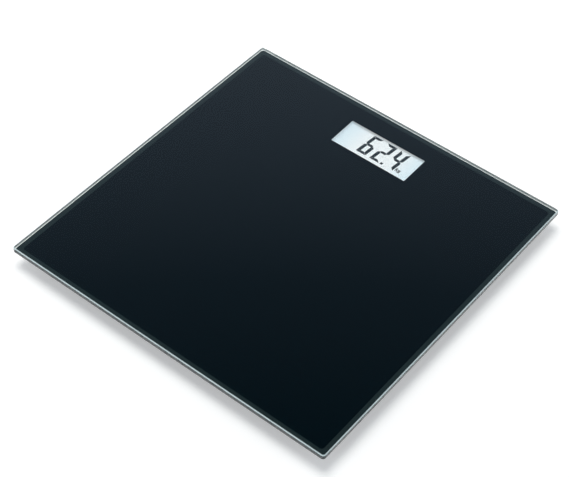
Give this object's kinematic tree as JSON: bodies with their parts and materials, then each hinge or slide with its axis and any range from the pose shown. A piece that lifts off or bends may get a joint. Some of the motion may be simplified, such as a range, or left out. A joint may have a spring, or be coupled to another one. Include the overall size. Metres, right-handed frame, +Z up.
{
  "type": "bathroom scale",
  "caption": "Digital bathroom scale: square toughened-glass platform printed black underneath, on round feet with load cells, with a display window and a coin cell behind a turn cover.",
  "frame": {"origin": "on the floor under the centre of the platform, at the soles of the feet", "axes": "+Z up, +Y towards the edge beside the display, +X to the right for someone who reads it"},
  "size_m": [0.3, 0.3, 0.018],
  "materials": {
    "clear_glass": "polished",
    "black_print": "gloss",
    "grey_print": "gloss",
    "polarizer_film": "gloss",
    "display_glass": "polished",
    "clear_resin": "gloss",
    "reflector_film": "satin",
    "black_foam": "matte",
    "white_plastic": "matte",
    "striped_rubber": "satin",
    "green_board": "satin",
    "zinc_steel": "satin",
    "black_resin": "gloss",
    "component_ceramic": "satin",
    "solder": "satin",
    "black_plastic": "matte",
    "white_foam_tape": "matte",
    "coin_steel": "polished",
    "nickel_sheet": "satin",
    "seal_rubber": "satin",
    "grey_plastic": "matte",
    "switch_plastic": "satin",
    "gauge_film": "satin",
    "white_sealant": "satin",
    "load_cell_steel": "satin",
    "pad_rubber": "matte",
    "lead_insulation": "satin"
  },
  "bodies": {
    "platform": {"backing_print": "black_print", "battery_negative_contact": "nickel_sheet", "battery_positive_contact": "nickel_sheet", "board_components": "component_ceramic", "board_screws": "zinc_steel", "border_print": "grey_print", "coin_cell": "coin_steel", "controller_blob": "black_resin", "electronics_housing": "black_plastic", "foot_holder_front_left": "black_plastic", "foot_holder_front_right": "black_plastic", "foot_holder_rear_left": "black_plastic", "foot_holder_rear_right": "black_plastic", "foot_tapes": "white_foam_tape", "gauge_sealant": "white_sealant", "glass_platform": "clear_glass", "housing_tape": "white_foam_tape", "lcd_connector_strip": "striped_rubber", "lcd_edge_seal": "clear_resin", "lcd_frame": "white_plastic", "lcd_front_glass": "display_glass", "lcd_front_polarizer": "polarizer_film", "lcd_rear_glass": "display_glass", "lcd_reflector": "reflector_film", "load_cell_front_left": "load_cell_steel", "load_cell_front_right": "load_cell_steel", "load_cell_rear_left": "load_cell_steel", "load_cell_rear_right": "load_cell_steel", "main_board": "green_board", "sensor_leads_front_left": "lead_insulation", "sensor_leads_front_right": "lead_insulation", "sensor_leads_rear_left": "lead_insulation", "sensor_leads_rear_right": "lead_insulation", "solder_joints": "solder", "strain_gauges": "gauge_film", "unit_switch": "switch_plastic", "window_gasket": "black_foam", "wire_cover_front_left": "black_plastic", "wire_cover_front_right": "black_plastic", "wire_cover_rear_left": "black_plastic", "wire_cover_rear_right": "black_plastic"},
    "battery_cover": {"battery_cover": "black_plastic", "battery_seal": "seal_rubber"},
    "unit_button": {"unit_button": "grey_plastic", "switch_plunger": "switch_plastic"},
    "foot_front_left": {"foot_cap_front_left": "grey_plastic", "foot_pad_front_left": "pad_rubber", "foot_clip_front_left": "nickel_sheet"},
    "foot_front_right": {"foot_cap_front_right": "grey_plastic", "foot_pad_front_right": "pad_rubber", "foot_clip_front_right": "nickel_sheet"},
    "foot_rear_left": {"foot_cap_rear_left": "grey_plastic", "foot_pad_rear_left": "pad_rubber", "foot_clip_rear_left": "nickel_sheet"},
    "foot_rear_right": {"foot_cap_rear_right": "grey_plastic", "foot_pad_rear_right": "pad_rubber", "foot_clip_rear_right": "nickel_sheet"}
  },
  "joints": [
    {"name": "battery_cover_turn", "type": "hinge", "parent": "platform", "child": "battery_cover", "pos_m": [-0.022, 0.073, 0.003], "axis": [0, 0, -1], "range_deg": [0, 45]},
    {"name": "unit_button_press", "type": "slide", "parent": "platform", "child": "unit_button", "axis": [0, 0, 1], "range_m": [0, 0.0004], "stiffness_N_per_m": 2000, "springref_m": -0.0004},
    {"name": "foot_front_left_travel", "type": "slide", "parent": "platform", "child": "foot_front_left", "axis": [0, 0, 1], "range_m": [0, 0.0005], "stiffness_N_per_m": 1000, "springref_m": -0.005, "deforming": ["load_cell_front_left"]},
    {"name": "foot_front_right_travel", "type": "slide", "parent": "platform", "child": "foot_front_right", "axis": [0, 0, 1], "range_m": [0, 0.0005], "stiffness_N_per_m": 1000, "springref_m": -0.005, "deforming": ["load_cell_front_right"]},
    {"name": "foot_rear_left_travel", "type": "slide", "parent": "platform", "child": "foot_rear_left", "axis": [0, 0, 1], "range_m": [0, 0.0005], "stiffness_N_per_m": 1000, "springref_m": -0.005, "deforming": ["load_cell_rear_left"]},
    {"name": "foot_rear_right_travel", "type": "slide", "parent": "platform", "child": "foot_rear_right", "axis": [0, 0, 1], "range_m": [0, 0.0005], "stiffness_N_per_m": 1000, "springref_m": -0.005, "deforming": ["load_cell_rear_right"]}
  ]
}
